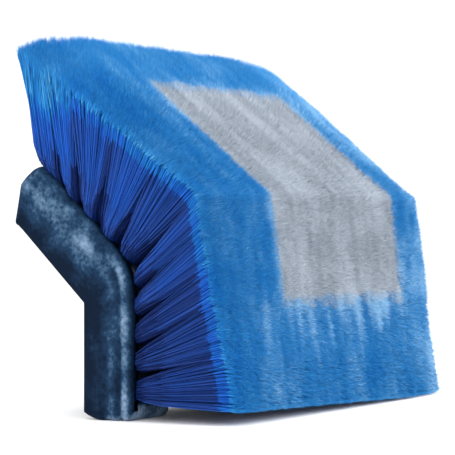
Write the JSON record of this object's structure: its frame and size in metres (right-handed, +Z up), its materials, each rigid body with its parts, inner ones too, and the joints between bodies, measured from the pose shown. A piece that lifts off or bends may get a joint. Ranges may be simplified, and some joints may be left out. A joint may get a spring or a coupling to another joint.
{
  "type": "bi-level wash brush head",
  "caption": "Two-level wash brush head: a bent block with a rubber bumper, long soft bristles in a blue ring round a grey centre, and a socket for a screw-in handle.",
  "frame": {"origin": "under the middle of the whole head, on the plane it stands on", "axes": "+Z up, the head standing on its lower long side; +X the way the lower level's bristles point; +Y along the head"},
  "size_m": [0.1412, 0.3038, 0.2057],
  "materials": {
    "block_plastic": "moulded, fine matt grain",
    "bumper_rubber": "matt rubber, scuffed on the beads",
    "blue_bristle": "soft bristle, deep blue at the root, paler flagged tips",
    "grey_bristle": "soft bristle, pale grey flagged tips"
  },
  "bodies": {
    "root": {"block": "block_plastic", "bumper": "bumper_rubber", "row_01_blue_tufts": "blue_bristle", "row_02_blue_tufts": "blue_bristle", "row_03_near_blue_tufts": "blue_bristle", "row_03_grey_tufts": "grey_bristle", "row_03_far_blue_tufts": "blue_bristle", "row_04_near_blue_tufts": "blue_bristle", "row_04_grey_tufts": "grey_bristle", "row_04_far_blue_tufts": "blue_bristle", "row_05_near_blue_tufts": "blue_bristle", "row_05_grey_tufts": "grey_bristle", "row_05_far_blue_tufts": "blue_bristle", "row_06_near_blue_tufts": "blue_bristle", "row_06_grey_tufts": "grey_bristle", "row_06_far_blue_tufts": "blue_bristle", "row_07_near_blue_tufts": "blue_bristle", "row_07_grey_tufts": "grey_bristle", "row_07_far_blue_tufts": "blue_bristle", "row_08_near_blue_tufts": "blue_bristle", "row_08_grey_tufts": "grey_bristle", "row_08_far_blue_tufts": "blue_bristle", "row_09_blue_tufts": "blue_bristle", "row_10_blue_tufts": "blue_bristle"}
  },
  "joints": []
}
